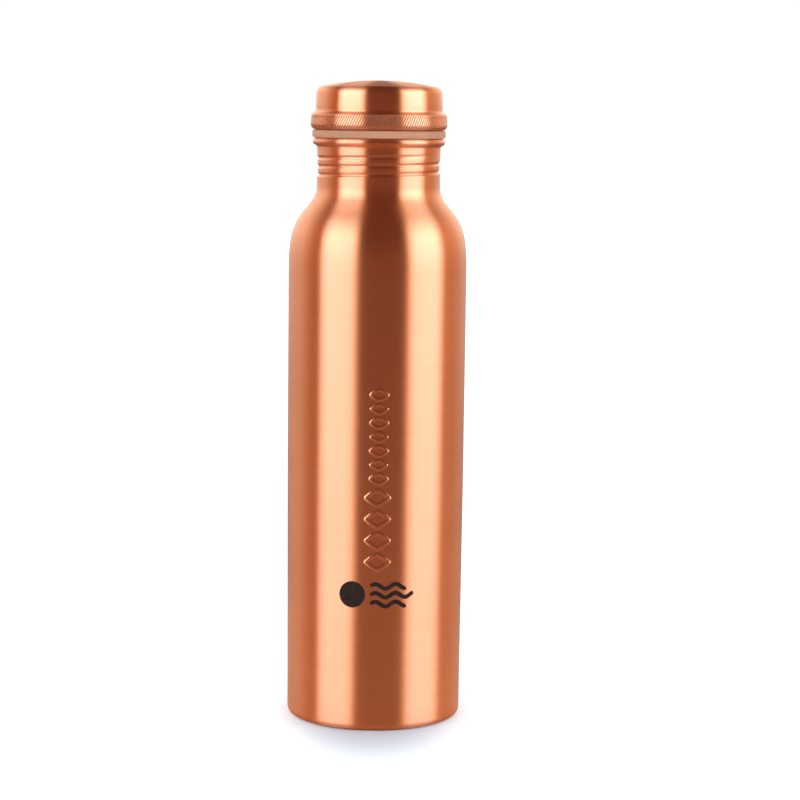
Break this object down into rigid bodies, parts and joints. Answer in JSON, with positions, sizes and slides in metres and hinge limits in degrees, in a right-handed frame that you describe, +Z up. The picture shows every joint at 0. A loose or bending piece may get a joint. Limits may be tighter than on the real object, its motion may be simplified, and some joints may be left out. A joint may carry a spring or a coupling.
{
  "type": "copper water bottle",
  "caption": "Drawn copper water bottle with a shouldered neck, rolled thread, silicone seal and a domed screw cap with a knurled grip band.",
  "frame": {"origin": "middle of the base, on the surface that the bottle stands on", "axes": "+Z up along the bottle's axis; -Y is the front, where the raised and printed ornament is"},
  "size_m": [0.0744, 0.0744, 0.2673],
  "materials": {
    "copper_body": "brushed copper, lathe grain round the axis",
    "copper_cap": "satin turned copper with a knurled band",
    "copper_plug": "plain drawn copper",
    "seal_silicone": "translucent pale silicone"
  },
  "bodies": {
    "bottle": {"bottle_body": "copper_body"},
    "seal": {"seal_ring": "seal_silicone"},
    "cap": {"cap_shell": "copper_cap", "cap_thread_plug": "copper_plug"}
  },
  "joints": [
    {"name": "cap_lift", "type": "slide", "parent": "bottle", "child": "seal", "axis": [0, 0, 1], "range_m": [0, 0.0245]},
    {"name": "cap_turn", "type": "hinge", "parent": "seal", "child": "cap", "pos_m": [0, 0, 0.2518], "axis": [0, 0, 1], "range_deg": [0, 2525]}
  ],
  "couplings": [
    {"joint": "cap_turn", "follows": "cap_lift", "rad_per_m": 1795.2}
  ]
}
